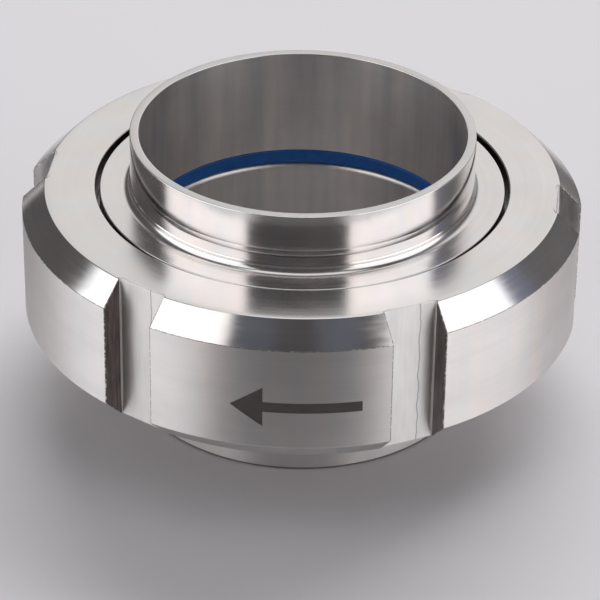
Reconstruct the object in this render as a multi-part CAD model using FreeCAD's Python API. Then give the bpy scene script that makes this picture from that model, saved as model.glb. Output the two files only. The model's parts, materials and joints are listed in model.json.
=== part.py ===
import FreeCAD
import Part

import math
import os

# Sanitary pipe union: two weld ferrules, a rubber seal between them and a slotted round nut.
# Units are millimetres. +Z is the flow axis, upwards. The origin is the centre of the lower tube's end face.

# Whole union
tube_diameter = 38.0
tube_wall = 1.0
overall_height = 32.0
upper_tube_length = 6.5

# Nut: the wall is measured outwards from the crest of the male part's thread
nut_wall = 5.0
nut_height = 17.0
nut_chamfer = 2.5
lip_thickness = 3.0
slot_count = 6
slot_width = 6.0
slot_depth = 2.8
first_slot_angle = 30.0
relief_height = 4.5

# Round thread with plain crests and roots: the flank angle is measured from the plane square to the axis
thread_pitch = 25.4 / 6.0
thread_depth = 2.1
flank_angle = 15.0
flank_play = 0.1
crest_gap = 0.2
thread_lead_in = 1.6

# Liner: the hub's face lies a little under the nut's
hub_shoulder = 3.4
hub_gap = 0.5
hub_drop = 0.3
flange_ledge = 1.1
flange_thickness = 3.0
flange_gap = 0.1
tube_step = 0.1
tube_step_depth = 4.0
tube_step_taper = 0.5
tube_fillet = 1.0

# Male part
collar_recess = 1.0
collar_rim_gap = 0.5
bore_edge_radius = 0.7
groove_play = 0.05

# Seal
lip_height = 1.7
bead_height = 5.0
bead_width = 1.9
thread_to_groove_wall = 1.3
seal_corner = 0.3

# Small clearances and how far the cutters run past the metal
seat_gap = 0.05
overcut = 1.0
groove_end_gap = 0.2

# Roundings are turned in this many chords, which keeps the mesh of the part light
round_steps = 2

AXIS = FreeCAD.Vector(0, 0, 1)

# A turned face closes on itself in a seam: the nut's lies in a slot, the others at the back
SLOT_SEAM = 0.0
BACK_SEAM = 90.0

# Radii and heights that follow from the sizes above
tube_radius = tube_diameter / 2.0
bore_radius = tube_radius - tube_wall
hub_radius = tube_radius + hub_shoulder
nut_hole_radius = hub_radius + hub_gap

flange_radius = nut_hole_radius + flange_ledge
nut_crest_radius = flange_radius + flange_gap
male_root_radius = nut_crest_radius - crest_gap
pitch_radius = male_root_radius + thread_depth / 2.0
male_crest_radius = male_root_radius + thread_depth
nut_root_radius = male_crest_radius + crest_gap
relief_radius = nut_root_radius + crest_gap
nut_radius = male_crest_radius + nut_wall

face_z = overall_height - upper_tube_length
hub_face_z = face_z - hub_drop
nut_bottom_z = face_z - nut_height
lip_under_z = face_z - lip_thickness
relief_bottom_z = lip_under_z - relief_height
flange_top_z = lip_under_z - seat_gap
flange_bottom_z = flange_top_z - flange_thickness
seal_top_z = flange_bottom_z - seat_gap
collar_top_z = seal_top_z - collar_rim_gap
land_z = seal_top_z - lip_height - seat_gap
groove_bottom_z = seal_top_z - bead_height - seat_gap
collar_bottom_z = nut_bottom_z + collar_recess
thread_z = nut_bottom_z + nut_height / 2.0

bead_outer_radius = male_root_radius - thread_to_groove_wall - groove_play
bead_inner_radius = bead_outer_radius - bead_width


def corner_points(before, corner, after):
    """The points of one corner of an outline, given as (radius, z) or as (radius, z, rounding)."""
    here = FreeCAD.Vector(corner[0], 0, corner[1])
    if len(corner) == 2:
        return [here]
    to_last = (FreeCAD.Vector(before[0], 0, before[1]) - here).normalize()
    to_next = (FreeCAD.Vector(after[0], 0, after[1]) - here).normalize()
    half_turn = to_last.getAngle(to_next) / 2.0
    centre = here + (to_last + to_next).normalize() * (corner[2] / math.sin(half_turn))
    start = here + to_last * (corner[2] / math.tan(half_turn)) - centre
    end = here + to_next * (corner[2] / math.tan(half_turn)) - centre
    swing = start.getAngle(end)
    points = []
    for step in range(round_steps + 1):
        angle = swing * step / round_steps
        points.append(centre + (start * math.sin(swing - angle) + end * math.sin(angle)) / math.sin(swing))
    return points


def turned(corners, seam_angle):
    """A solid of revolution about Z. Its faces close on themselves at the seam angle."""
    points = []
    for index, corner in enumerate(corners):
        points += corner_points(corners[index - 1], corner, corners[(index + 1) % len(corners)])
    solid = Part.Face(Part.makePolygon(points + points[:1])).revolve(FreeCAD.Vector(), AXIS, 360.0)
    solid.rotate(FreeCAD.Vector(), AXIS, seam_angle)
    return solid


def thread_groove(bottom_radius, crest_radius, middle_z, low_z, high_z):
    """Solid that cuts a right-hand thread groove from below low_z to above high_z.

    The groove's middle passes middle_z at angle 0. Its mouth runs past the crest by the overcut.
    """
    outward = 1.0 if crest_radius > bottom_radius else -1.0
    mouth_radius = crest_radius + outward * overcut
    slope = math.tan(math.radians(flank_angle))
    half_pitch_width = thread_pitch / 4.0 + flank_play / 2.0
    half_bottom = half_pitch_width - abs(pitch_radius - bottom_radius) * slope
    half_mouth = half_pitch_width + abs(mouth_radius - pitch_radius) * slope
    turns_below = math.ceil((middle_z - low_z) / thread_pitch) + 1
    start_z = middle_z - turns_below * thread_pitch
    corners = [
        FreeCAD.Vector(bottom_radius, 0, start_z - half_bottom),
        FreeCAD.Vector(bottom_radius, 0, start_z + half_bottom),
        FreeCAD.Vector(mouth_radius, 0, start_z + half_mouth),
        FreeCAD.Vector(mouth_radius, 0, start_z - half_mouth),
    ]
    turns = []
    for index in range(math.ceil((high_z - start_z) / thread_pitch) + 1):
        turn = Part.makeHelix(thread_pitch, thread_pitch, pitch_radius)
        turn.translate(FreeCAD.Vector(0, 0, start_z + index * thread_pitch))
        turns += turn.Edges
    sweep = Part.BRepOffsetAPI.MakePipeShell(Part.Wire(turns))
    sweep.setBiNormalMode(AXIS)
    sweep.add(Part.makePolygon(corners + corners[:1]))
    sweep.build()
    sweep.makeSolid()
    return sweep.shape()


def make_nut():
    """Round nut: a chamfered ring with a lip at the top, an inside thread below it and spanner slots."""
    blank = turned([
        (nut_hole_radius, lip_under_z),
        (nut_hole_radius, face_z),
        (nut_radius - nut_chamfer, face_z),
        (nut_radius, face_z - nut_chamfer),
        (nut_radius, nut_bottom_z + nut_chamfer),
        (nut_radius - nut_chamfer, nut_bottom_z),
        (relief_radius, nut_bottom_z),
        (nut_crest_radius, nut_bottom_z + relief_radius - nut_crest_radius),
        (nut_crest_radius, relief_bottom_z),
        (relief_radius, relief_bottom_z),
        (relief_radius, lip_under_z),
    ], SLOT_SEAM)
    groove = thread_groove(nut_root_radius, nut_crest_radius, thread_z, nut_bottom_z, relief_bottom_z)
    groove_end_z = lip_under_z - groove_end_gap
    below_lip = Part.makeCylinder(nut_radius, nut_height, FreeCAD.Vector(0, 0, groove_end_z - nut_height))
    nut = blank.cut(groove.common(below_lip))
    slot = Part.makeBox(
        slot_width,
        slot_depth + overcut,
        nut_height + 2.0 * overcut,
        FreeCAD.Vector(-slot_width / 2.0, -nut_radius - overcut, nut_bottom_z - overcut),
    )
    for index in range(slot_count):
        angle = first_slot_angle + index * 360.0 / slot_count
        copy = slot.copy()
        copy.rotate(FreeCAD.Vector(), AXIS, angle)
        nut = nut.cut(copy)
    return nut


def make_liner():
    """Upper ferrule: tube with a shallow step, a hub that fills the nut's hole and a flange under its lip."""
    step_top_z = overall_height - tube_step_depth + tube_step_taper
    return turned([
        (bore_radius, flange_bottom_z),
        (bore_radius, overall_height),
        (tube_radius, overall_height),
        (tube_radius, step_top_z),
        (tube_radius + tube_step, step_top_z - tube_step_taper),
        (tube_radius + tube_step, hub_face_z, tube_fillet),
        (hub_radius, hub_face_z),
        (hub_radius, flange_top_z),
        (flange_radius, flange_top_z),
        (flange_radius, flange_bottom_z),
    ], BACK_SEAM)


def make_male_part():
    """Lower ferrule: tube with a collar that carries the outside thread and the seal's groove."""
    groove_inner = bead_inner_radius - groove_play
    groove_outer = bead_outer_radius + groove_play
    blank = turned([
        (bore_radius, 0),
        (bore_radius, land_z, bore_edge_radius),
        (groove_inner, land_z),
        (groove_inner, groove_bottom_z),
        (groove_outer, groove_bottom_z),
        (groove_outer, collar_top_z),
        (male_crest_radius - thread_lead_in, collar_top_z),
        (male_crest_radius, collar_top_z - thread_lead_in),
        (male_crest_radius, collar_bottom_z + thread_lead_in),
        (male_crest_radius - thread_lead_in, collar_bottom_z),
        (tube_radius, collar_bottom_z, tube_fillet),
        (tube_radius, 0),
    ], BACK_SEAM)
    groove_z = thread_z + thread_pitch / 2.0
    groove = thread_groove(male_root_radius, male_crest_radius, groove_z, collar_bottom_z, collar_top_z)
    return blank.cut(groove)


def make_seal():
    """Rubber ring of L section: a bead in the groove and a lip over the land, level with the bore."""
    return turned([
        (bore_radius, land_z + seat_gap + seal_corner),
        (bore_radius + seal_corner, land_z + seat_gap),
        (bead_inner_radius, land_z + seat_gap),
        (bead_inner_radius, groove_bottom_z + seat_gap),
        (bead_outer_radius, groove_bottom_z + seat_gap),
        (bead_outer_radius, seal_top_z),
        (bore_radius, seal_top_z),
    ], BACK_SEAM)


os.makedirs("parts", exist_ok=True)
pieces = {
    "nut": make_nut(),
    "liner": make_liner(),
    "seal": make_seal(),
    "male_part": make_male_part(),
}
for name, piece in pieces.items():
    print(name, "valid", piece.isValid(), "solids", len(piece.Solids), "volume", round(piece.Volume, 1))
    piece.exportStep("parts/" + name + ".step")
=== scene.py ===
import json
import math

import bpy
import numpy as np
from mathutils import Matrix, Vector


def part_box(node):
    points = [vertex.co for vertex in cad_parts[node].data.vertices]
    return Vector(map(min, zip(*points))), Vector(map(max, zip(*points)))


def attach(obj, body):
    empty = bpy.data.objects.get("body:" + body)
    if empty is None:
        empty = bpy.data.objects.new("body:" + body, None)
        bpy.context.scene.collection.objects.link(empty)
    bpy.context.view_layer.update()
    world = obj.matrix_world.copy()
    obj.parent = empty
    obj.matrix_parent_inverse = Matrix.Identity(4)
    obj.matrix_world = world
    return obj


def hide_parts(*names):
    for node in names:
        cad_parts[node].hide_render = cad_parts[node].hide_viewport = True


# A sanitary union on a pale floor: two weld ferrules, a blue seal and a slotted round nut.
# Sizes are in millimetres in the row frame and become metres when a mesh is made.

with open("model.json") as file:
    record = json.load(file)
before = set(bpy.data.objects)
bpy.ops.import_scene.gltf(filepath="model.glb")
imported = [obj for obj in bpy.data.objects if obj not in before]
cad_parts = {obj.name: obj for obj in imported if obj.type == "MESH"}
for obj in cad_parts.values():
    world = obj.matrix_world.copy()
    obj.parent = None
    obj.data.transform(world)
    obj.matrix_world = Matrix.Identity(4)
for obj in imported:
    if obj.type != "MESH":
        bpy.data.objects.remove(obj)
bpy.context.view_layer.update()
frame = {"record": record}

MM = 0.001


def box_mm(node):
    """Lowest and highest corner of a CAD node in millimetres."""
    low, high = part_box(node)
    return low / MM, high / MM


nut_low, nut_high = box_mm("nut")
liner_low, liner_high = box_mm("liner")
male_high = box_mm("male_part")[1]
seal_low, seal_high = box_mm("seal")
mounts = {mount["name"]: mount for mount in frame["record"]["mounts"]}

# The nut's outside stays this far inside the CAD model, and the etched arrow stands this far proud of it
MARK_ROOM = 0.02
MARK_PROUD = 0.015

# Radii
TUBE = mounts["upper_tube"]["dims"]["r_mm"]
BORE = mounts["upper_bore"]["dims"]["r_mm"]
HUB_SHOULDER = 3.4
HUB = TUBE + HUB_SHOULDER
HUB_GAP = 0.5
NUT_HOLE = HUB + HUB_GAP
NUT_OUTSIDE = nut_high.y - MARK_ROOM
FLANGE = liner_high.x
THREAD_CREST = male_high.x
SEAL_OUTSIDE = seal_high.x
BEAD_WIDTH = 1.9
BEAD_INSIDE = SEAL_OUTSIDE - BEAD_WIDTH

# Clearances
SEAT_GAP = 0.05
GROOVE_PLAY = 0.05

# Heights
TOP = liner_high.z
FACE = nut_high.z
NUT_BOTTOM = nut_low.z
LIP_THICKNESS = 3.0
LIP_UNDER = FACE - LIP_THICKNESS
RELIEF_HEIGHT = 4.5
RELIEF_BOTTOM = LIP_UNDER - RELIEF_HEIGHT
COLLAR_TOP = male_high.z
COLLAR_RECESS = 1.0
COLLAR_BOTTOM = NUT_BOTTOM + COLLAR_RECESS
SEAL_LIP = 1.7
LAND = seal_high.z - SEAL_LIP - SEAT_GAP

# The hub's face, and the shallow step and the fine line that the lathe left around the tube above it
HUB_DROP = 0.3
HUB_FACE = FACE - HUB_DROP
STEP = 0.035
STEP_LINE = HUB_FACE + 2.4
STEP_HALF = 0.3
FOOT_LINE = HUB_FACE + 0.95
LINE_DEPTH = 0.06
LINE_HALF = 0.10

# Nut: on its top face and its lower one, the plain ring lies just inside the slots' floors
NUT_CHAMFER = 2.5
INNER_EDGE = NUT_OUTSIDE - NUT_CHAMFER
PLAIN_RING = INNER_EDGE - 0.7
SLOT_COUNT = 6
SLOT_HALF_WIDTH = 3.0
SLOT_DEPTH = 2.8
SLOT_LEAST_DEPTH = 0.03
SLOT_FLOOR = NUT_OUTSIDE - (SLOT_DEPTH - MARK_ROOM)
FIRST_SLOT_ANGLE = math.radians(-60.0)
SECTOR = 2.0 * math.pi / SLOT_COUNT

# Round thread
THREAD_PITCH = 25.4 / 6.0
THREAD_DEPTH = 2.1
THREAD_ROUNDING = 0.2385 * THREAD_PITCH
FLANK_ANGLE = math.radians(15.0)
FLANK_PLAY = 0.1
CREST_GAP = 0.2
THREAD_LEAD_IN = 1.6
CREST_HEIGHT = (NUT_BOTTOM + FACE) / 2.0
THREAD_STEP = 0.085

# Roundings: corners get the edge break unless they name another, and small ones get the edge's finish
EDGE_BREAK = 0.1
SMALL_ROUNDING = 0.5
LINE_ROUNDING = 0.03
LINE_BOTTOM_ROUNDING = 0.02
FOOT_ROUNDING = 0.8
HUB_ROUNDING = 0.15
HOLE_ROUNDING = 0.16
RELIEF_ROUNDING = 0.3
NUT_FACE_ROUNDING = 0.2
NUT_SIDE_ROUNDING = 0.12
NUT_LOWER_ROUNDING = 0.15
SLOT_FLOOR_ROUNDING = 0.18
SLOT_MOUTH_ROUNDING = 0.12
BORE_ROUNDING = 0.7
COLLAR_FILLET = 1.0
TUBE_END_ROUNDING = 0.25
SEAL_ROUNDING = 0.3
SEAL_TOP_ROUNDING = 0.2
SEAL_LIP_ROUNDING = 0.25

# Points on a flat face lie this far from its edge: beside the nut's thread, beside a corner and under the collar
MOUTH_RING = 0.2
FLAT_RING = 0.5
COLLAR_RING = 2.5

# How finely round things are divided
EDGE_STEPS = 4
ROUND_SEGMENTS = 288
ARC_STEPS = 36
SLOT_FLOOR_STEPS = 6
SLOT_INNER_STEPS = 3
SLOT_OUTER_STEPS = 4
SLOT_WALL_START = SLOT_FLOOR_STEPS + SLOT_INNER_STEPS
SLOT_WALL_END = SLOT_WALL_START + 2
SLOT_POINTS = SLOT_WALL_END + SLOT_OUTER_STEPS + 1
SLOT_REACH = math.radians(6.2)

# Etched arrow: its middle is at this azimuth, and sideways places are millimetres along the nut's side
ARROW_AZIMUTH = math.radians(5.5)
ARROW_HEIGHT = NUT_BOTTOM + 7.5
ARROW_TIP = -7.0
ARROW_NECK = -3.5
ARROW_TAIL = 7.0
ARROW_HEAD_HALF = 2.4
ARROW_SHAFT_HALF = 0.6
ARROW_STEP = 0.5

# Camera: the rim's centre is given in the camera's own axes, in millimetres
CAMERA_AZIMUTH = math.radians(6.15)
CAMERA_PITCH = math.radians(31.83)
CAMERA_ROLL = math.radians(0.80)
CAMERA_LENS = 194.8
RIM_IN_VIEW = Vector((0.34, 18.62, -355.5))

# Lamps, in metres and degrees: name, the direction's azimuth and elevation, distance from a point on the axis,
# that point's height, width, upright size, light, and what the lamp stays out of. A shine lights only what the
# steel reflects, and the lamp at the back only what is matt.
LAMPS = [
    ("left_softbox", -68.0, 0.0, 0.40, 0.36, 0.55, 0.74, 0.76, None),
    ("left_shine", -68.0, 0.0, 0.401, 0.36, 0.55, 0.74, 0.42, "visible_diffuse"),
    ("right_softbox", 63.0, 0.0, 0.40, 0.28, 0.55, 0.58, 0.76, None),
    ("right_shine", 63.0, 0.0, 0.401, 0.28, 0.55, 0.58, 0.42, "visible_diffuse"),
    ("top_softbox", 180.0, 88.0, 0.7, 0.02, 0.52, 0.52, 0.9, None),
    ("back_softbox", 165.0, 44.0, 1.2, 0.02, 1.50, 0.68, 4.7, "visible_glossy"),
]

# A lamp fades out over this share of its width. Its part near the table is brighter by this factor, which wears
# off between these heights
SOFT_EDGE = 0.09
LOW_GAIN = 1.6
LOW_HEIGHTS = (0.04, 0.20)

# The dark sheet, a painted reflection of shade on the table: its inner and outer edge, how high above the table
# it lies, and where its front part fades to the left and to the right and its far part inwards and forwards
SHADE_SHEET_EDGES = (50.0, 500.0)
SHADE_SHEET_LIFT = 0.4
SHADE_SHEET_STEP = 4
SHADE_SHEET_LEFT = (-36.0, -20.0)
SHADE_SHEET_RIGHT = (17.0, 33.0)
SHADE_SHEET_FAR = (60.0, 130.0)
SHADE_SHEET_BEHIND = (95.0, 120.0)

# The world's own light, and its glows: azimuth, elevation, the angles where a glow is full and gone, its light
WORLD_BASE = (0.062, 0.060, 0.062)
WORLD_GLOWS = [
    (-122.0, 24.0, 18.0, 40.0, (0.085, 0.082, 0.082)),
    (122.0, 24.0, 18.0, 40.0, (0.115, 0.113, 0.115)),
    (103.0, 35.0, 3.0, 12.0, (0.16, 0.175, 0.235)),
    (21.0, 57.0, 2.0, 9.0, (0.105, 0.111, 0.132)),
    (-25.0, 57.0, 2.0, 8.0, (0.09, 0.096, 0.115)),
    (166.0, 34.0, 14.0, 38.0, (0.80, 0.795, 0.79)),
]


class Nodes:
    """A few short ways to add shader nodes to one tree."""

    def __init__(self, tree):
        self.tree = tree

    def add(self, kind, **settings):
        node = self.tree.nodes.new(kind)
        for key, value in settings.items():
            setattr(node, key, value)
        return node

    def feed(self, socket, value):
        if isinstance(value, bpy.types.NodeSocket):
            self.tree.links.new(value, socket)
        else:
            socket.default_value = value

    def math(self, operation, *values):
        node = self.add("ShaderNodeMath", operation=operation)
        for socket, value in zip(node.inputs, values):
            self.feed(socket, value)
        return node.outputs[0]

    def total(self, first, *others):
        for other in others:
            first = self.math("ADD", first, other)
        return first

    def product(self, first, *others):
        for other in others:
            first = self.math("MULTIPLY", first, other)
        return first

    def combine(self, x, y, z):
        node = self.add("ShaderNodeCombineXYZ")
        for socket, value in zip(node.inputs, (x, y, z)):
            self.feed(socket, value)
        return node.outputs[0]

    def spread(self, value, low, high, to_low, to_high, interpolation="LINEAR"):
        node = self.add("ShaderNodeMapRange", interpolation_type=interpolation)
        for name, number in (("From Min", low), ("From Max", high), ("To Min", to_low), ("To Max", to_high)):
            node.inputs[name].default_value = number
        self.feed(node.inputs["Value"], value)
        return node.outputs[0]

    def noise(self, vector, w, detail):
        node = self.add("ShaderNodeTexNoise", noise_dimensions="4D")
        self.feed(node.inputs["Vector"], vector)
        self.feed(node.inputs["W"], w)
        node.inputs["Scale"].default_value = 1.0
        node.inputs["Detail"].default_value = detail
        return node.outputs["Fac"]

    def blend(self, share, first, second):
        node = self.add("ShaderNodeMix", data_type="RGBA")
        self.feed(node.inputs["Factor"], share)
        self.feed(node.inputs[6], first)
        self.feed(node.inputs[7], second)
        return node.outputs[2]

    def shade(self, color, strength):
        node = self.add("ShaderNodeVectorMath", operation="SCALE")
        self.feed(node.inputs[0], color)
        self.feed(node.inputs["Scale"], strength)
        return node.outputs[0]

    def bump(self, height, shader):
        """Bumps of a height given in millimetres."""
        node = self.add("ShaderNodeBump")
        node.inputs["Strength"].default_value = 1.0
        node.inputs["Distance"].default_value = MM
        self.feed(node.inputs["Height"], height)
        self.feed(shader.inputs["Normal"], node.outputs[0])

    def brush(self, shader, anisotropy):
        """Metal whose reflections are drawn out up and down, or outwards on a flat face."""
        shader.inputs["Metallic"].default_value = 1.0
        shader.inputs["Anisotropic"].default_value = anisotropy
        shader.inputs["Anisotropic Rotation"].default_value = 0.25
        around = self.add("ShaderNodeTangent", direction_type="RADIAL", axis="Z")
        self.feed(shader.inputs["Tangent"], around.outputs[0])

    def place(self):
        """A point's height and distance from the axis in millimetres, and its direction's x and y."""
        split = self.add("ShaderNodeSeparateXYZ")
        self.feed(split.inputs[0], self.shade(self.add("ShaderNodeTexCoord").outputs["Object"], 1.0 / MM))
        x, y, z = split.outputs
        radius = self.math("SQRT", self.total(self.product(x, x), self.product(y, y)))
        return z, radius, self.math("DIVIDE", x, radius), self.math("DIVIDE", y, radius)

    def round_noise(self, place, across, around, detail=2.0):
        """Noise on a turned piece, with so many cells in a millimetre across the marks and in a radian around."""
        z, radius, cosine, sine = place
        vector = self.combine(self.product(radius, across), self.product(z, across), self.product(cosine, around))
        return self.noise(vector, self.product(sine, around), detail)


def new_material(name):
    """An empty node material with a Principled shader: the material, its nodes helper and the shader."""
    material = bpy.data.materials.new(name)
    material.use_nodes = True
    return material, Nodes(material.node_tree), material.node_tree.nodes["Principled BSDF"]


def rgba(color):
    return (*color, 1.0)


def turned_steel(name, color, roughness, anisotropy, marks=0.0003, waves=0.01, streaks=0.0, nicks=0.0):
    """Turned stainless steel: fine rings about Z that draw reflections out across them, and uneven gloss.

    Marks, waves and nicks are depths in millimetres, of the rings, of the slow unevenness and of an edge's wear.
    Streaks is how much the tone changes around the axis.
    """
    material, n, shader = new_material(name)
    place = n.place()
    fine = n.round_noise(place, 3.0, 0.2, detail=0.0)
    broad = n.round_noise(place, 0.25, 4.0)
    streak = n.round_noise(place, 0.03, 7.0, detail=3.0)
    tone = n.total(n.spread(broad, 0.3, 0.7, -0.06, 0.03), n.spread(fine, 0.3, 0.7, -0.01, 0.01), 1.0)
    tone = n.total(tone, n.spread(streak, 0.3, 0.7, -streaks, streaks))
    warm = (color[0] * 1.02, color[1] * 0.99, color[2] * 0.97)
    cool = (color[0] * 0.98, color[1], color[2] * 1.02)
    hue = n.blend(n.spread(streak, 0.35, 0.65, 0.0, 1.0), rgba(cool), rgba(warm))
    n.feed(shader.inputs["Base Color"], n.shade(hue, tone))
    uneven = n.total(n.spread(fine, 0.3, 0.7, -0.01, 0.01), n.spread(broad, 0.3, 0.7, -0.03, 0.03))
    n.feed(shader.inputs["Roughness"], n.total(uneven, roughness))
    n.brush(shader, anisotropy)
    height = n.total(n.product(fine, marks), n.product(broad, waves))
    if nicks:
        height = n.total(height, n.product(n.round_noise(place, 5.0, 120.0), nicks))
    n.bump(height, shader)
    return material


def milled_steel(name, light, dark, roughness, depth, line=None, others=None):
    """Steel cut by a mill along Z, with uneven lines up and down.

    Line is how many millimetres beside a slot's middle the edge of one cut runs. Others is the lighter tone of
    the slots away from the front; the slots at the front, on the -Y side, keep the dark colours as painted shade.
    """
    material, n, shader = new_material(name)
    z, radius, cosine, sine = n.place()
    sideways = n.combine(n.product(cosine, 130.0), n.product(sine, 130.0), n.product(z, 0.2))
    lines = n.noise(sideways, n.product(radius, 4.0), 3.0)
    patches = n.noise(n.combine(n.product(cosine, 30.0), n.product(sine, 30.0), n.product(z, 0.35)), radius, 2.0)
    mixed = n.total(n.product(lines, 0.5), n.product(patches, 0.5))
    color = n.blend(n.spread(mixed, 0.36, 0.62, 0.0, 1.0), rgba(dark), rgba(light))
    if line:
        turns = n.math("DIVIDE", n.math("SUBTRACT", n.math("ARCTAN2", sine, cosine), FIRST_SLOT_ANGLE), SECTOR)
        from_slot = n.math("SUBTRACT", turns, n.math("ROUND", turns))
        wave = n.spread(n.noise(n.combine(0.0, 0.0, n.product(z, 0.5)), 0.0, 3.0), 0.3, 0.7, -0.12, 0.12)
        aside = n.total(n.product(n.math("SINE", n.product(from_slot, SECTOR)), radius), wave, -line)
        mark = n.spread(n.math("ABSOLUTE", aside), 0.03, 0.09, 0.55, 1.0, "SMOOTHSTEP")
        color = n.shade(color, mark)
    # Painted shade: the walls at the front, towards -Y, keep the dark colour, and the walls further back blend to
    # the lighter tone
    if others:
        unshaded_wall_tone = n.shade(others, n.spread(mixed, 0.3, 0.7, 0.7, 1.1))
        color = n.blend(n.spread(sine, -0.7, 0.0, 0.0, 1.0), color, unshaded_wall_tone)
    n.feed(shader.inputs["Base Color"], color)
    n.feed(shader.inputs["Roughness"], n.spread(mixed, 0.3, 0.7, roughness - 0.04, roughness + 0.04))
    n.brush(shader, 0.85)
    n.bump(n.product(lines, depth), shader)
    return material


def burred_steel(name, light, dark, depth):
    """The torn edge beside a cut: dark speckle that draws a thin dark line along the edge, with bright specks
    between.
    """
    material, n, shader = new_material(name)
    specks = n.round_noise(n.place(), 3.0, 90.0, detail=3.0)
    n.feed(shader.inputs["Base Color"], n.blend(n.spread(specks, 0.50, 0.60, 0.0, 1.0), rgba(dark), rgba(light)))
    shader.inputs["Metallic"].default_value = 1.0
    shader.inputs["Roughness"].default_value = 0.42
    n.bump(n.product(specks, depth), shader)
    return material


def rubber(name, color):
    """Smooth moulded rubber with a faint bloom."""
    material, n, shader = new_material(name)
    bloom = n.noise(n.shade(n.add("ShaderNodeTexCoord").outputs["Object"], 0.9 / MM), 0.0, 4.0)
    n.feed(shader.inputs["Base Color"], n.shade(color, n.spread(bloom, 0.3, 0.7, 0.85, 1.15)))
    n.feed(shader.inputs["Roughness"], n.spread(bloom, 0.3, 0.7, 0.38, 0.5))
    n.bump(n.product(bloom, 0.003), shader)
    return material


def etched(name, color):
    """Laser-darkened steel: matt, with the fine hatch that the beam leaves."""
    material, n, shader = new_material(name)
    z, _, cosine, sine = n.place()
    hatch = n.noise(n.combine(n.product(z, 9.0), n.product(cosine, 20.0), n.product(sine, 20.0)), 0.0, 2.0)
    n.feed(shader.inputs["Base Color"], n.shade(color, n.spread(hatch, 0.3, 0.7, 0.8, 1.2)))
    n.feed(shader.inputs["Roughness"], n.spread(hatch, 0.3, 0.7, 0.42, 0.55))
    n.bump(n.product(hatch, 0.001), shader)
    return material


face_steel = turned_steel("face_steel", (0.85, 0.82, 0.805), 0.20, 0.7)
nut_face_steel = turned_steel("nut_face_steel", (0.86, 0.83, 0.815), 0.20, 0.7)
chamfer_steel = turned_steel("chamfer_steel", (0.93, 0.905, 0.895), 0.14, 0.3, marks=0.0, waves=0.05)
side_steel = turned_steel("side_steel", (0.96, 0.925, 0.91), 0.49, 0.9, streaks=0.02)
tube_steel = turned_steel("tube_steel", (0.90, 0.865, 0.855), 0.12, 0.5, marks=0.0, streaks=0.04)
bore_steel = turned_steel("bore_steel", (0.80, 0.77, 0.735), 0.36, 0.4, marks=0.0, waves=0.0, streaks=0.15)
weld_end_steel = turned_steel("weld_end_steel", (0.92, 0.885, 0.87), 0.42, 0.8)
rim_steel = turned_steel("rim_steel", (0.76, 0.74, 0.73), 0.26, 0.7)
# Dark steel that is painted shade: the walls of the gap between the hub and the nut's hole, and a shadow line
# where the lower tube meets the table
groove_steel = turned_steel("groove_steel", (0.30, 0.28, 0.27), 0.30, 0.0, nicks=0.01)
thread_steel = turned_steel("thread_steel", (0.70, 0.664, 0.652), 0.25, 0.5)
edge_steel = turned_steel("edge_steel", (0.92, 0.90, 0.89), 0.16, 0.0, nicks=0.006)
burr_steel = burred_steel("burr_steel", (0.80, 0.78, 0.76), (0.27, 0.245, 0.23), 0.004)
slot_floor_steel = milled_steel(
    "slot_floor_steel", (0.98, 0.96, 0.95), (0.90, 0.875, 0.865), 0.46, 0.001, line=1.2)
# The slot walls' dark brown is painted shade, which stays on the slots at the front; their milled lines are the
# steel's own
slot_wall_steel = milled_steel(
    "slot_wall_steel", (0.46, 0.39, 0.36), (0.20, 0.165, 0.15), 0.30, 0.003, others=(0.66, 0.64, 0.64))
blue_rubber = rubber("blue_rubber", (0.008, 0.125, 0.46))
arrow_etch = etched("arrow_etch", (0.075, 0.066, 0.060))


def corner_arc(before, corner, after, radius, steps):
    """Points of the arc that rounds a corner between two neighbours, all as (radius, height)."""
    here = np.array(corner, float)
    to_last = np.array(before, float) - here
    to_next = np.array(after, float) - here
    to_last /= np.linalg.norm(to_last)
    to_next /= np.linalg.norm(to_next)
    half = math.acos(np.clip(to_last @ to_next, -1.0, 1.0)) / 2.0
    middle = (to_last + to_next) / np.linalg.norm(to_last + to_next)
    centre = here + middle * radius / math.sin(half)
    start = here + to_last * radius / math.tan(half) - centre
    end = here + to_next * radius / math.tan(half) - centre
    swing = math.pi - 2.0 * half
    shares = [swing * step / steps for step in range(steps + 1)]
    return [centre + (start * math.sin(swing - a) + end * math.sin(a)) / math.sin(swing) for a in shares]


def profile(corners, edge=None, closed=True):
    """The points of a turned outline, and the finish of the strip that follows each point.

    A corner is (radius, height, finish), and may also give its rounding and the rounding's finish. Its finish is
    that of the run after it. Small roundings get the edge's finish, or the corner's own where no edge is given.
    """
    points, finishes = [], []
    for index, corner in enumerate(corners):
        finish = corner[2]
        if not closed and index in (0, len(corners) - 1):
            points.append(np.array(corner[:2], float))
            finishes.append(finish)
            continue
        radius = corner[3] if len(corner) > 3 else EDGE_BREAK
        steps = EDGE_STEPS if radius < SMALL_ROUNDING else 2 * EDGE_STEPS
        before, after = corners[index - 1], corners[(index + 1) % len(corners)]
        points += corner_arc(before[:2], corner[:2], after[:2], radius, steps)
        rounding = edge if edge and radius < SMALL_ROUNDING else finish
        finishes += [corner[4] if len(corner) > 4 else rounding] * steps + [finish]
    return points, finishes


def circle(radius, height, angles):
    """One ring of points. The radius is a number or one number for each angle."""
    return np.stack([radius * np.cos(angles), radius * np.sin(angles), np.full(len(angles), height)], 1)


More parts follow.
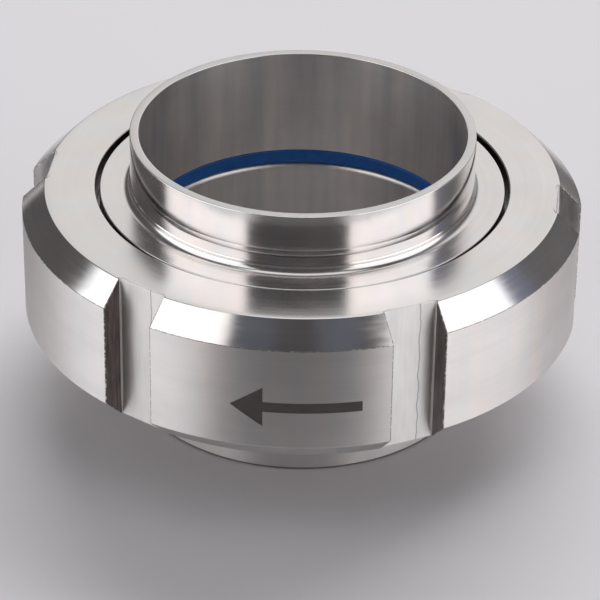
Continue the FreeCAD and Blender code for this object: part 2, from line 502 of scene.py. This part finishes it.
def ring_object(name, rings, finishes):
    """A closed mesh of quads between rings that all have as many points, with one finish for each strip."""
    rings = np.array(rings)
    count, around = rings.shape[:2]
    faces = []
    for k in range(count):
        low, high = k * around, ((k + 1) % count) * around
        for i in range(around):
            j = (i + 1) % around
            faces.append((low + i, low + j, high + j, high + i))
    mesh = bpy.data.meshes.new(name)
    mesh.from_pydata((rings.reshape(-1, 3) * MM).tolist(), [], faces)
    kinds = list(dict.fromkeys(finishes))
    for material in kinds:
        mesh.materials.append(material)
    mesh.polygons.foreach_set("material_index", np.repeat([kinds.index(f) for f in finishes], around))
    mesh.shade_smooth()
    mesh.update()
    piece = bpy.data.objects.new(name, mesh)
    bpy.context.collection.objects.link(piece)
    weights = piece.modifiers.new("face_normals", "WEIGHTED_NORMAL")
    weights.weight = 60
    return piece


def turned(name, corners, edge=None):
    """A piece turned about Z from a closed outline."""
    angles = np.arange(ROUND_SEGMENTS) * 2.0 * math.pi / ROUND_SEGMENTS
    points, finishes = profile(corners, edge)
    return ring_object(name, [circle(r, z, angles) for r, z in points], finishes)


def from_crest(angles, height):
    """Distance along the axis from the middle of the male thread's nearest crest, for each angle."""
    rise = THREAD_PITCH * angles / (2.0 * math.pi)
    return np.abs((height - CREST_HEIGHT - rise + THREAD_PITCH / 2.0) % THREAD_PITCH - THREAD_PITCH / 2.0)


def round_thread(away):
    """Radius of the male thread at a distance along the axis from the middle of its crest."""
    reach = THREAD_ROUNDING * math.cos(FLANK_ANGLE)
    to_root = THREAD_PITCH / 2.0 - away
    crest = THREAD_CREST - THREAD_ROUNDING + np.sqrt(THREAD_ROUNDING**2 - np.minimum(away, reach) ** 2)
    root = THREAD_CREST - THREAD_DEPTH + THREAD_ROUNDING
    root = root - np.sqrt(THREAD_ROUNDING**2 - np.minimum(to_root, reach) ** 2)
    share = np.clip((away - reach) / (THREAD_PITCH / 2.0 - 2.0 * reach), 0.0, 1.0)
    return crest * (1.0 - share) + root * share


def half_slot(radius, floor, half_width):
    """Half of a spanner slot, as (sideways, outward) points from its floor's middle to the nut's outside."""
    mouth = math.sqrt(radius**2 - half_width**2)
    floor = min(floor, mouth - SLOT_LEAST_DEPTH)
    wall = mouth - floor
    inner = min(SLOT_FLOOR_ROUNDING, 0.4 * wall)
    outer = min(SLOT_MOUTH_ROUNDING, 0.3 * wall)
    lean = math.asin(half_width / radius)
    along = (half_width + math.cos(lean), mouth - math.sin(lean))
    points = [(side, floor) for side in np.linspace(0.0, half_width - 2.0 * inner, SLOT_FLOOR_STEPS)]
    points += corner_arc((0, floor), (half_width, floor), (half_width, mouth), inner, SLOT_INNER_STEPS)
    points += [(half_width, (floor + mouth) / 2.0)]
    points += corner_arc((half_width, floor), (half_width, mouth), along, outer, SLOT_OUTER_STEPS)
    return np.array([tuple(point) for point in points])


def turn(points, angle):
    """(sideways, outward) points set against a direction, as x and y."""
    sideways, outward = points[:, 0], points[:, 1]
    x = outward * math.cos(angle) - sideways * math.sin(angle)
    y = outward * math.sin(angle) + sideways * math.cos(angle)
    return np.stack([x, y], 1)


def slotted_ring(radius, height, floor, half_width):
    """The nut's outline at one height."""
    half = half_slot(radius, floor, half_width)
    mirrored = half[::-1] * (-1.0, 1.0)
    start = math.atan2(half[-1][0], half[-1][1])
    around = np.linspace(start, SECTOR - start, ARC_STEPS + 1)[1:-1]
    points = []
    for index in range(SLOT_COUNT):
        angle = FIRST_SLOT_ANGLE + index * SECTOR
        arc = np.stack([radius * np.cos(angle + around), radius * np.sin(angle + around)], 1)
        points += [turn(half, angle), arc, turn(mirrored[:-1], angle + SECTOR)]
    flat = np.concatenate(points)
    return np.column_stack([flat, np.full(len(flat), height)])


def ring_angles():
    """Angles of a plain ring that has a point for each point of the slotted outline."""
    half = np.linspace(0.0, SLOT_REACH, SLOT_POINTS)
    around = np.linspace(SLOT_REACH, SECTOR - SLOT_REACH, ARC_STEPS + 1)[1:-1]
    sector = np.concatenate([half, around, SECTOR - half[::-1][:-1]])
    return np.concatenate([FIRST_SLOT_ANGLE + index * SECTOR + sector for index in range(SLOT_COUNT)])


def make_nut():
    """The slotted nut, from its top face outwards and down, then up through its thread."""
    angles = ring_angles()
    outside, finishes = profile([
        (PLAIN_RING, FACE, nut_face_steel),
        (INNER_EDGE, FACE, chamfer_steel, NUT_FACE_ROUNDING),
        (NUT_OUTSIDE, FACE - NUT_CHAMFER, side_steel, NUT_SIDE_ROUNDING, burr_steel),
        (NUT_OUTSIDE, NUT_BOTTOM + NUT_CHAMFER, chamfer_steel, NUT_LOWER_ROUNDING),
        (INNER_EDGE, NUT_BOTTOM, nut_face_steel, NUT_FACE_ROUNDING),
        (PLAIN_RING, NUT_BOTTOM, nut_face_steel),
    ], edge_steel, closed=False)
    outside, finishes = outside[1:-1], finishes[1:-1]
    edge = NUT_FACE_ROUNDING * math.tan(math.radians(22.5)) * math.sin(math.radians(45.0))
    rings = []
    for radius, height in outside:
        near_end = max(height - (FACE - edge), NUT_BOTTOM + edge - height, 0.0) / edge
        gone = SLOT_MOUTH_ROUNDING * (1.0 - math.sqrt(max(1.0 - near_end**2, 0.0)))
        rings.append(slotted_ring(radius, height, SLOT_FLOOR - gone, SLOT_HALF_WIDTH + gone))
    outer_count = len(rings)
    relief = THREAD_CREST + 2.0 * CREST_GAP
    rings.append(circle(PLAIN_RING, NUT_BOTTOM, angles))
    rings.append(circle(relief + MOUTH_RING, NUT_BOTTOM, angles))
    finishes += [nut_face_steel] * 2
    steps = int((RELIEF_BOTTOM - NUT_BOTTOM) / THREAD_STEP)
    for height in np.linspace(NUT_BOTTOM, RELIEF_BOTTOM, steps):
        thread = round_thread(np.maximum(from_crest(angles, height) - FLANK_PLAY, 0.0)) + CREST_GAP
        rings.append(circle(np.maximum(thread, relief - (height - NUT_BOTTOM)), height, angles))
    finishes += [thread_steel] * steps
    inside, inside_finishes = profile([
        (relief - FLAT_RING, RELIEF_BOTTOM, thread_steel),
        (relief, RELIEF_BOTTOM, thread_steel),
        (relief, LIP_UNDER, thread_steel, RELIEF_ROUNDING),
        # The hole's wall in the gap is painted dark as shade
        (NUT_HOLE, LIP_UNDER, groove_steel),
        (NUT_HOLE, FACE, nut_face_steel, HOLE_ROUNDING),
        (PLAIN_RING, FACE, nut_face_steel),
    ], edge_steel, closed=False)
    rings += [circle(r, z, angles) for r, z in inside[1:]]
    nut = ring_object("union_nut_steel", rings, finishes + inside_finishes[1:])
    paint_slots(nut, outer_count, len(angles))
    return nut


def paint_slots(nut, outer_count, around):
    """Gives the faces of the spanner slots their own finishes."""
    first = len(nut.data.materials)
    for material in (slot_floor_steel, slot_wall_steel, burr_steel):
        nut.data.materials.append(material)
    sector = around // SLOT_COUNT
    for ring in range(outer_count - 1):
        for i in range(around):
            place = i % sector
            from_floor = min(place, sector - 1 - place)
            face = nut.data.polygons[ring * around + i]
            if from_floor < SLOT_WALL_START:
                face.material_index = first
            elif from_floor < SLOT_WALL_END:
                face.material_index = first + 1
            elif from_floor < SLOT_POINTS - 1:
                face.material_index = first + 2


def make_liner():
    """The upper ferrule: tube, hub and flange."""
    return turned("liner_steel", [
        (BORE, liner_low.z, bore_steel),
        (BORE, TOP, rim_steel),
        (TUBE, TOP, tube_steel),
        (TUBE, STEP_LINE + STEP_HALF, tube_steel, LINE_ROUNDING, tube_steel),
        (TUBE + STEP, STEP_LINE - STEP_HALF, tube_steel, LINE_ROUNDING, tube_steel),
        (TUBE + STEP, FOOT_LINE + LINE_HALF, tube_steel, LINE_ROUNDING, tube_steel),
        (TUBE + STEP - LINE_DEPTH, FOOT_LINE, tube_steel, LINE_BOTTOM_ROUNDING, tube_steel),
        (TUBE + STEP, FOOT_LINE - LINE_HALF, tube_steel, LINE_ROUNDING, tube_steel),
        (TUBE + STEP, HUB_FACE, face_steel, FOOT_ROUNDING),
        # The hub's wall in the gap is painted dark as shade
        (HUB, HUB_FACE, groove_steel, HUB_ROUNDING),
        (HUB, LIP_UNDER - SEAT_GAP, thread_steel),
        (FLANGE, LIP_UNDER - SEAT_GAP, thread_steel),
        (FLANGE, liner_low.z, thread_steel),
    ], edge_steel)


def make_seal():
    """The rubber ring: a bead in its groove and a lip level with the bore."""
    return turned("seal_rubber_ring", [
        (BORE, LAND + SEAT_GAP, blue_rubber, SEAL_LIP_ROUNDING),
        (BEAD_INSIDE, LAND + SEAT_GAP, blue_rubber),
        (BEAD_INSIDE, seal_low.z, blue_rubber, SEAL_ROUNDING),
        (SEAL_OUTSIDE, seal_low.z, blue_rubber, SEAL_ROUNDING),
        (SEAL_OUTSIDE, seal_high.z, blue_rubber, SEAL_ROUNDING),
        (BORE, seal_high.z, blue_rubber, SEAL_TOP_ROUNDING),
    ])


def make_male_part():
    """The lower ferrule: tube and collar, with the round thread outside and the seal's groove on top."""
    angles = np.arange(ROUND_SEGMENTS) * 2.0 * math.pi / ROUND_SEGMENTS
    wall_middle = (BORE + TUBE) / 2.0
    inside, finishes = profile([
        (wall_middle, 0.0, face_steel),
        (BORE, 0.0, bore_steel),
        (BORE, LAND, bore_steel, BORE_ROUNDING),
        (BEAD_INSIDE - GROOVE_PLAY, LAND, thread_steel),
        (BEAD_INSIDE - GROOVE_PLAY, seal_low.z - SEAT_GAP, thread_steel),
        (SEAL_OUTSIDE + GROOVE_PLAY, seal_low.z - SEAT_GAP, thread_steel),
        (SEAL_OUTSIDE + GROOVE_PLAY, COLLAR_TOP, face_steel),
        (SEAL_OUTSIDE + GROOVE_PLAY + FLAT_RING, COLLAR_TOP, face_steel),
    ], edge_steel, closed=False)
    rings = [circle(r, z, angles) for r, z in inside]
    steps = int((COLLAR_TOP - COLLAR_BOTTOM) / THREAD_STEP)
    for height in np.linspace(COLLAR_TOP, COLLAR_BOTTOM, steps):
        cone = THREAD_CREST - max(THREAD_LEAD_IN - min(COLLAR_TOP - height, height - COLLAR_BOTTOM), 0.0)
        rings.append(circle(np.minimum(round_thread(from_crest(angles, height)), cone), height, angles))
    finishes += [thread_steel] * steps
    outside, outside_finishes = profile([
        (TUBE + COLLAR_RING, COLLAR_BOTTOM, face_steel),
        (TUBE, COLLAR_BOTTOM, weld_end_steel, COLLAR_FILLET),
        # The tube's lowest rounding is painted dark as a shadow line on the table
        (TUBE, 0.0, face_steel, TUBE_END_ROUNDING, groove_steel),
        (wall_middle, 0.0, face_steel),
    ], edge_steel, closed=False)
    rings += [circle(r, z, angles) for r, z in outside[:-1]]
    return ring_object("male_part_steel", rings, finishes + outside_finishes[:-1])


def make_arrow():
    """A laser-etched arrow on the nut's side that shows which way it tightens."""
    head = np.linspace(ARROW_TIP, ARROW_NECK, round((ARROW_NECK - ARROW_TIP) / ARROW_STEP) + 1)
    shaft = np.linspace(ARROW_NECK, ARROW_TAIL, round((ARROW_TAIL - ARROW_NECK) / ARROW_STEP) + 1)
    flat = [(ARROW_TIP, 0.0)]
    for side in head[1:]:
        half = ARROW_HEAD_HALF * (side - ARROW_TIP) / (ARROW_NECK - ARROW_TIP)
        flat += [(side, half), (side, -half)]
    head_count = len(flat)
    for side in shaft:
        flat += [(side, ARROW_SHAFT_HALF), (side, -ARROW_SHAFT_HALF)]
    faces = [(0, 2, 1)]
    faces += [(k, k + 1, k + 3, k + 2) for k in range(1, head_count - 4, 2)]
    last = head_count - 4
    faces.append((last, last + 1, last + 3, head_count + 1, head_count, last + 2))
    faces += [(k, k + 1, k + 3, k + 2) for k in range(head_count, len(flat) - 2, 2)]
    radius = NUT_OUTSIDE + MARK_PROUD
    points = []
    for side, rise in flat:
        angle = side / radius + ARROW_AZIMUTH
        points.append((radius * math.sin(angle), -radius * math.cos(angle), ARROW_HEIGHT + rise))
    mesh = bpy.data.meshes.new("nut_arrow")
    mesh.from_pydata((np.array(points) * MM).tolist(), [], faces)
    mesh.materials.append(arrow_etch)
    mesh.update()
    arrow = bpy.data.objects.new("nut_arrow", mesh)
    bpy.context.collection.objects.link(arrow)
    depth = arrow.modifiers.new("depth", "SOLIDIFY")
    depth.thickness = 4.0 * MARK_PROUD * MM
    depth.offset = -1.0
    return arrow


def towards(azimuth, elevation):
    """A direction in degrees. Azimuth 0 is the camera's side and grows to the camera's right."""
    a, e = math.radians(azimuth) + CAMERA_AZIMUTH, math.radians(elevation)
    return Vector((math.sin(a) * math.cos(e), -math.cos(a) * math.cos(e), math.sin(e)))


def softbox(name, azimuth, elevation, distance, lift, width, height, radiance, stays_out_of):
    """One of the lamps: a rectangle with soft edges that the camera doesn't see."""
    light = bpy.data.lights.new(name, "AREA")
    light.shape = "RECTANGLE"
    light.size = width
    light.size_y = height
    light.energy = radiance * math.pi * width * height
    light.use_nodes = True
    n = Nodes(light.node_tree)
    geometry = n.add("ShaderNodeNewGeometry")
    panel = n.add("ShaderNodeSeparateXYZ")
    n.feed(panel.inputs[0], geometry.outputs["Parametric"])
    shares = []
    for place in panel.outputs[:2]:
        from_middle = n.math("ABSOLUTE", n.math("SUBTRACT", place, 0.5))
        shares.append(n.spread(from_middle, 0.5 - SOFT_EDGE, 0.5, 1.0, 0.0, "SMOOTHSTEP"))
    room = n.add("ShaderNodeSeparateXYZ")
    n.feed(room.inputs[0], geometry.outputs["Position"])
    shares.append(n.spread(room.outputs[2], *LOW_HEIGHTS, LOW_GAIN, 1.0, "SMOOTHSTEP"))
    n.feed(light.node_tree.nodes["Emission"].inputs["Strength"], n.product(*shares))
    out = towards(azimuth, elevation)
    lamp = bpy.data.objects.new(name, light)
    lamp.location = Vector((0.0, 0.0, lift)) + out * distance
    lamp.rotation_mode = "QUATERNION"
    lamp.rotation_quaternion = out.to_track_quat("Z", "Y")
    lamp.visible_camera = False
    if stays_out_of:
        setattr(lamp, stays_out_of, False)
    bpy.context.collection.objects.link(lamp)


def make_camera():
    """The camera stands where the photo was taken."""
    data = bpy.data.cameras.new("camera")
    data.lens = CAMERA_LENS
    data.clip_start = 0.01
    camera = bpy.data.objects.new("camera", data)
    look = Matrix.Rotation(CAMERA_AZIMUTH, 4, "Z")
    look = look @ Matrix.Rotation(math.pi / 2.0 - CAMERA_PITCH, 4, "X")
    look = look @ Matrix.Rotation(CAMERA_ROLL, 4, "Z")
    rim = Matrix.Translation(Vector((0.0, 0.0, TOP)) * MM)
    camera.matrix_world = rim @ look @ Matrix.Translation(-RIM_IN_VIEW * MM)
    bpy.context.collection.objects.link(camera)
    bpy.context.scene.camera = camera


def make_floor():
    """A pale matt table top with a faint unevenness."""
    material, n, shader = new_material("floor_paint")
    cloud = n.noise(n.shade(n.add("ShaderNodeTexCoord").outputs["Object"], 12.0), 0.0, 2.0)
    n.feed(shader.inputs["Base Color"], n.shade((0.715, 0.700, 0.722), n.spread(cloud, 0.3, 0.7, 0.985, 1.0)))
    shader.inputs["Specular IOR Level"].default_value = 0.0
    reach = 4000.0 * MM
    mesh = bpy.data.meshes.new("floor")
    corners = [(-reach, -reach, 0), (reach, -reach, 0), (reach, reach, 0), (-reach, reach, 0)]
    mesh.from_pydata(corners, [], [(0, 1, 2, 3)])
    mesh.materials.append(material)
    floor = bpy.data.objects.new("floor", mesh)
    bpy.context.collection.objects.link(floor)


def make_reflected_shade_sheet():
    """A dark sheet on the table before the camera and far behind, seen only in the steel: a painted reflection of
    shade.
    """
    material, n, shader = new_material("dark_cloth")
    _, radius, cosine, sine = n.place()
    from_front = n.math("ARCTAN2", cosine, n.product(sine, -1.0))
    azimuth = n.math("DEGREES", n.math("SUBTRACT", from_front, CAMERA_AZIMUTH))
    left = n.spread(azimuth, *SHADE_SHEET_LEFT, 0.0, 1.0, "SMOOTHSTEP")
    right = n.spread(azimuth, *SHADE_SHEET_RIGHT, 1.0, 0.0, "SMOOTHSTEP")
    far = n.spread(radius, *SHADE_SHEET_FAR, 0.0, 1.0, "SMOOTHSTEP")
    behind = n.spread(n.math("ABSOLUTE", azimuth), *SHADE_SHEET_BEHIND, 0.0, 1.0, "SMOOTHSTEP")
    n.feed(shader.inputs["Alpha"], n.total(n.product(left, right), n.product(far, behind)))
    shader.inputs["Base Color"].default_value = (0.13, 0.125, 0.125, 1.0)
    shader.inputs["Roughness"].default_value = 0.9
    points = []
    for reach in SHADE_SHEET_EDGES:
        for degrees in range(-180, 181, SHADE_SHEET_STEP):
            out = towards(degrees, 0.0) * reach
            points.append(Vector((out.x, out.y, SHADE_SHEET_LIFT)) * MM)
    count = len(points) // 2
    mesh = bpy.data.meshes.new("dark_card")
    mesh.from_pydata(points, [], [(k, k + 1, count + k + 1, count + k) for k in range(count - 1)])
    mesh.materials.append(material)
    card = bpy.data.objects.new("dark_card", mesh)
    card.visible_camera = False
    card.visible_diffuse = False
    card.visible_shadow = False
    bpy.context.collection.objects.link(card)


def make_world():
    """Dim studio surroundings with a pale glow behind the object and faint ones elsewhere."""
    world = bpy.data.worlds.new("studio")
    bpy.context.scene.world = world
    world.use_nodes = True
    n = Nodes(world.node_tree)
    direction = n.add("ShaderNodeTexCoord").outputs["Generated"]
    color = rgba(WORLD_BASE)
    for azimuth, elevation, full, gone, tone in WORLD_GLOWS:
        near = n.add("ShaderNodeVectorMath", operation="DOT_PRODUCT")
        n.feed(near.inputs[0], direction)
        near.inputs[1].default_value = towards(azimuth, elevation)
        edges = math.cos(math.radians(gone)), math.cos(math.radians(full))
        share = n.spread(near.outputs["Value"], *edges, 0.0, 1.0, "SMOOTHSTEP")
        color = n.blend(share, color, rgba(tone))
    n.feed(world.node_tree.nodes["Background"].inputs["Color"], color)


def dress(piece, body, node):
    """Body and replaced node of one piece."""
    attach(piece, body)
    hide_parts(node)


make_camera()
dress(make_nut(), "union_nut", "nut")
dress(make_liner(), "upper_ferrule", "liner")
dress(make_male_part(), "lower_ferrule", "male_part")
dress(make_seal(), "lower_ferrule", "seal")
arrow = make_arrow()
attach(arrow, "union_nut")
make_floor()
make_world()
make_reflected_shade_sheet()
for lamp in LAMPS:
    softbox(*lamp)

bpy.context.scene.view_settings.view_transform = "Standard"
